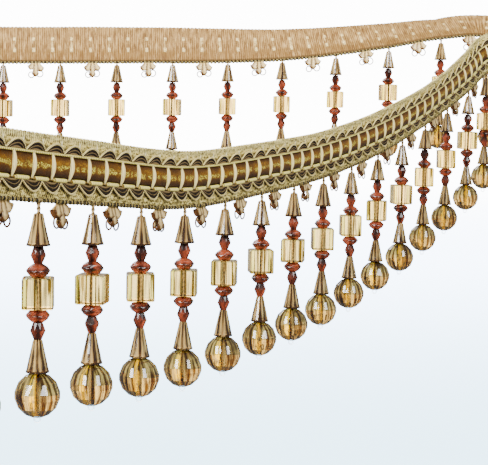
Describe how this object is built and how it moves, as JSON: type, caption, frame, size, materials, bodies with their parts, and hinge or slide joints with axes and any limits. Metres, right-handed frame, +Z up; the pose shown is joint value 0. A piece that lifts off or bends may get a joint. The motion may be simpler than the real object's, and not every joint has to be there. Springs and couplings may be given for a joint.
{
  "type": "beaded fringe trim",
  "caption": "Open hanging loop of woven fringe trim: ribboned tape with scalloped gimp, small ribbon loop tufts and long strands of faceted beads along its lower edge.",
  "frame": {"origin": "top edge of the tape at the middle of the level far side, where the trim is held up", "axes": "+X along the far side towards the closed end of the loop, +Y away from the open near side, +Z up"},
  "size_m": [0.4087, 0.5855, 0.2018],
  "materials": {
    "tape": "woven metallic-look yarn, beige gold",
    "ribbon": "shiny amber brown pile ribbon with a gold line",
    "piping": "pale gold wrapped cord",
    "gimp": "wrapped gimp cords, cream and grey brown",
    "beads": "clear champagne and rust acrylic, faceted",
    "loops": "satin ribbon loops, gold beige"
  },
  "bodies": {
    "root": {"woven_tape": "tape", "centre_ribbon": "ribbon", "lower_piping": "piping", "upper_piping": "piping", "lower_scallops": "gimp", "upper_scallops": "gimp", "bead_fringe_1": "beads", "bead_fringe_2": "beads", "bead_fringe_3": "beads", "bead_fringe_4": "beads", "bead_fringe_5": "beads", "bead_fringe_6": "beads", "bead_fringe_7": "beads", "loop_fringe_1": "loops", "loop_fringe_2": "loops", "loop_fringe_3": "loops", "loop_fringe_4": "loops", "loop_fringe_5": "loops", "loop_fringe_6": "loops", "loop_fringe_7": "loops"}
  },
  "joints": []
}
